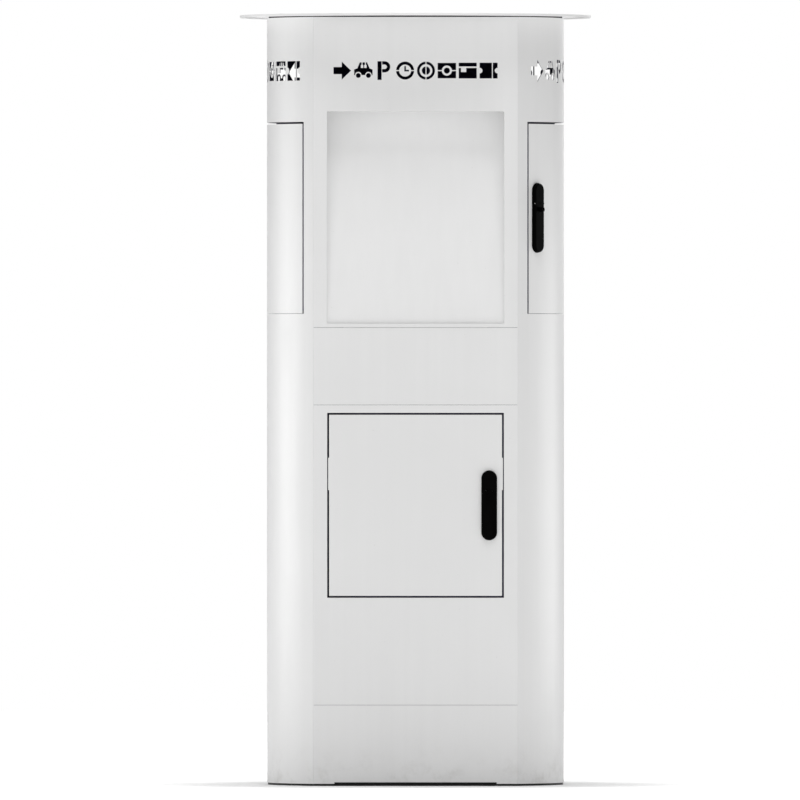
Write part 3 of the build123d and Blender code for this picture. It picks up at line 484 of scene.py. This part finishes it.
def roundedLoop(x0, x1, z0, z1):
    # a rectangle with round corners, as places and outward directions round its middle line
    r = gasketPlan["corner"]
    centres = ((x1 - r, z1 - r, 0.0), (x0 + r, z1 - r, 0.5), (x0 + r, z0 + r, 1.0), (x1 - r, z0 + r, 1.5))
    xs, zs, dirs = [], [], []
    for cx, cz, quarter in centres:
        angle = (quarter + np.linspace(0.0, 0.5, gasketPlan["cornerSteps"])) * math.pi
        xs.append(cx + r * np.cos(angle))
        zs.append(cz + r * np.sin(angle))
        dirs.append(angle)
    x, z, direction = np.concatenate(xs), np.concatenate(zs), np.concatenate(dirs)
    # long straights are divided, so that they can wrap round the body
    loop = np.append(np.arange(len(x)), 0)
    fine = np.linspace(0.0, 1.0, gasketPlan["straightSteps"], endpoint=False)
    outX, outZ, outDir = [], [], []
    for a, b in zip(loop[:-1], loop[1:]):
        turn = (direction[b] - direction[a] + math.pi) % (2 * math.pi) - math.pi
        far = math.hypot(x[b] - x[a], z[b] - z[a]) > 3 * r
        t = fine if far else fine[:1]
        outX.append(x[a] + (x[b] - x[a]) * t)
        outZ.append(z[a] + (z[b] - z[a]) * t)
        outDir.append(direction[a] + turn * t)
    return np.concatenate(outX), np.concatenate(outZ), np.concatenate(outDir)


def gasket(door):
    # the bulb profile carried round a rounded rectangle, then wrapped on the inside of the round door
    low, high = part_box(door + "_seal")
    half = gasketPlan["width"] / 2
    outer = bodyRadius - gasketPlan["foldDepth"]
    width = math.asin(min(1.0, high.y / outer)) * bodyRadius
    across, out = bulbProfile()
    x, z, direction = roundedLoop(half - width, width - half, low.z + half, high.z - half)
    px = x[:, None] + across[None, :] * np.cos(direction)[:, None]
    pz = z[:, None] + across[None, :] * np.sin(direction)[:, None]
    side = 1.0 if door == "right_door" else -1.0
    radius = outer - out[None, :]
    angle = px / bodyRadius
    points = place3d(side * radius * np.cos(angle), side * radius * np.sin(angle), pz)
    mesh = gridMesh(door + "_gasket", points, closedRows=True, closedColumns=True)
    fixNormals(mesh)
    return mesh


for door in ("right_door", "left_door"):
    addPiece(door + "_gasket", gasket(door), door, "rubber", replaced=[door + "_seal"])
print("gaskets done")


screenPlan = {"pitch": 0.0042, "wire": 0.00042, "halfWidth": 0.083, "halfHeight": 0.056, "sides": 5,
              "centres": (0.330, 1.500), "depth": 0.0035, "steps": 3}


def wovenWires(centreZ):
    # each wire is a tube along a sine wave, over and under the wires that cross it, on the body's curve
    plan = screenPlan
    meshes = []
    ring = np.linspace(0.0, 2 * math.pi, plan["sides"], endpoint=False)
    for along, reach, crossReach in (("x", plan["halfWidth"], plan["halfHeight"]),
                                     ("z", plan["halfHeight"], plan["halfWidth"])):
        count = int(2 * crossReach / plan["pitch"])
        t = np.linspace(-reach, reach, int(2 * reach / plan["pitch"]) * plan["steps"])
        for k in range(count + 1):
            offset = -crossReach + k * 2 * crossReach / count
            phase = math.pi * (k + (0 if along == "x" else 1))
            lift = plan["wire"] * np.sin(math.pi * t / plan["pitch"] + phase)
            side = offset + plan["wire"] * np.cos(ring)[None, :]
            depth = lift[:, None] + plan["wire"] * np.sin(ring)[None, :]
            run, across = np.broadcast_arrays(t[:, None], side)
            u, v = (run, across) if along == "x" else (across, run)
            radius = bodyRadius - plan["depth"] - depth
            angle = u / bodyRadius
            points = place3d(radius * np.sin(angle), radius * np.cos(angle), centreZ + v)
            meshes.append(gridMesh("wire", points, closedColumns=True, capped=True))
    joined = joinMeshes("screen", meshes)
    for mesh in meshes:
        bpy.data.meshes.remove(mesh)
    fixNormals(joined, 1e-9)
    return joined


for label, centreZ in zip(("lower", "upper"), screenPlan["centres"]):
    addPiece(f"vent_screen_{label}", wovenWires(centreZ), "cabinet", "bright_steel")
print("screens done")


stagePlan = {"floorRadius": 14.0, "floorHole": 0.01, "floorSides": 96, "floorRings": 24,
             "floorTone": 0.9, "floorShadow": 0.99, "lightGlow": 0.62, "lightFrom": 0.3, "lightTo": 0.8,
             "paintedShadowFadeFrom": 0.38, "paintedShadowFadeTo": 1.1, "worldWhite": 1.0, "worldLight": 0.262}


def makeFloor():
    # a ring of radius times angle, open only in the middle, under the base
    plan = stagePlan
    angle = np.linspace(0.0, 2 * math.pi, plan["floorSides"], endpoint=False)[None, :]
    radius = np.linspace(plan["floorHole"], plan["floorRadius"], plan["floorRings"])[:, None]
    points = place3d(radius * np.cos(angle), radius * np.sin(angle), 0 * radius * angle)
    mesh = gridMesh("floor", points, closedColumns=True)
    fixNormals(mesh)
    floor = bpy.data.objects.new("floor", mesh)
    bpy.context.scene.collection.objects.link(floor)
    material, base, place = startMaterial("paleFloor")
    cloud = noise(place, 1.2, 3.0, 0.5)
    tone = mixColour(cloud, colour(plan["floorTone"] * plan["floorShadow"]), colour(plan["floorTone"]))
    # white glow away from the object, weaker as light; none seen near the base: a ring of painted shadow
    away = place.node("ShaderNodeVectorMath", {"operation": "LENGTH"}, {0: place}, "Value")
    lightGlow = away.between(plan["lightFrom"], plan["lightTo"]) * plan["lightGlow"]
    # painted shadow: the glow the camera sees starts only 0.38 m from the middle and is full at 1.1 m
    seenGlowPastPaintedShadow = away.between(plan["paintedShadowFadeFrom"], plan["paintedShadowFadeTo"])
    seen = base.node("ShaderNodeLightPath", None, None, "Is Camera Ray")
    glow = lightGlow + seen * (seenGlowPastPaintedShadow - lightGlow)
    glowColour = mixColour(glow, colour(0.0), colour(1.0))
    closeMaterial(material, base, {"Base Color": tone, "Roughness": 0.85, "Specular IOR Level": 0.1,
                                   "Emission Color": glowColour, "Emission Strength": 1.0})
    mesh.materials.append(material)
    if mesh.polygons[0].normal.z < 0:
        mesh.flip_normals()


def makeWorld():
    # white where the camera looks past the object, dimmer as a light
    world = bpy.data.worlds.new("studio")
    bpy.context.scene.world = world
    world.use_nodes = True
    tree = world.node_tree
    tree.nodes.clear()
    base = Shade(tree)
    seen = base.node("ShaderNodeLightPath", None, None, "Is Camera Ray")
    strength = seen * (stagePlan["worldWhite"] - stagePlan["worldLight"]) + stagePlan["worldLight"]
    sky = base.node("ShaderNodeBackground", None, {"Color": (1.0, 1.0, 1.0, 1.0), "Strength": strength})
    base.node("ShaderNodeOutputWorld", None, {"Surface": sky})


bodyMiddle = (0.0, 0.0, 0.95)
lightPlan = {
    "key": {"at": (-1.4, -7.5, 4.4), "aim": bodyMiddle, "size": 5.0, "watts": 78.0},
    "front": {"at": (1.2, -7.5, 1.0), "aim": bodyMiddle, "size": 5.0, "watts": 54.0},
    "high": {"at": (0.3, -4.0, 8.0), "aim": bodyMiddle, "size": 3.0, "watts": 155.0},
    "left": {"at": (-2.78, 1.0, 0.95), "aim": bodyMiddle, "size": 1.4, "watts": 26.0},
    "rightRim": {"at": (2.08, 1.2, 0.75), "aim": (0.0, 0.0, 0.75), "size": 1.2, "watts": 10.5},
    "top": {"at": (0.0, 0.3, 6.5), "aim": bodyMiddle, "size": 3.0, "watts": 110.0},
    "back": {"at": (1.5, 7.0, 3.0), "aim": bodyMiddle, "size": 4.0, "watts": 60.0},
}


def makeLights():
    for name, plan in lightPlan.items():
        lamp = bpy.data.lights.new(name, "AREA")
        lamp.energy = plan["watts"]
        lamp.size = plan["size"]
        holder = bpy.data.objects.new(name, lamp)
        holder.location = plan["at"]
        holder.visible_camera = False
        direction = Vector(plan["aim"]) - Vector(plan["at"])
        holder.rotation_euler = direction.to_track_quat("-Z", "Y").to_euler()
        bpy.context.scene.collection.objects.link(holder)


cameraPlan = {"distance": 60.0, "frameWidth": 1.886, "middleX": -0.0365, "middleZ": 0.9061,
              "sensorWidth": 36.0, "clipStart": 1.0, "clipEnd": 200.0}


def makeCamera():
    # level and far away, so that the front looks flat
    plan = cameraPlan
    camera = bpy.data.cameras.new("camera")
    camera.sensor_width = plan["sensorWidth"]
    camera.lens = plan["sensorWidth"] * plan["distance"] / plan["frameWidth"]
    camera.clip_start = plan["clipStart"]
    camera.clip_end = plan["clipEnd"]
    holder = bpy.data.objects.new("camera", camera)
    holder.location = (plan["middleX"], -plan["distance"], plan["middleZ"])
    holder.rotation_euler = (math.radians(90.0), 0.0, 0.0)
    bpy.context.scene.collection.objects.link(holder)
    bpy.context.scene.camera = holder


makeFloor()
makeWorld()
makeLights()
makeCamera()
bpy.context.scene.view_settings.view_transform = "Standard"
print("stage done")
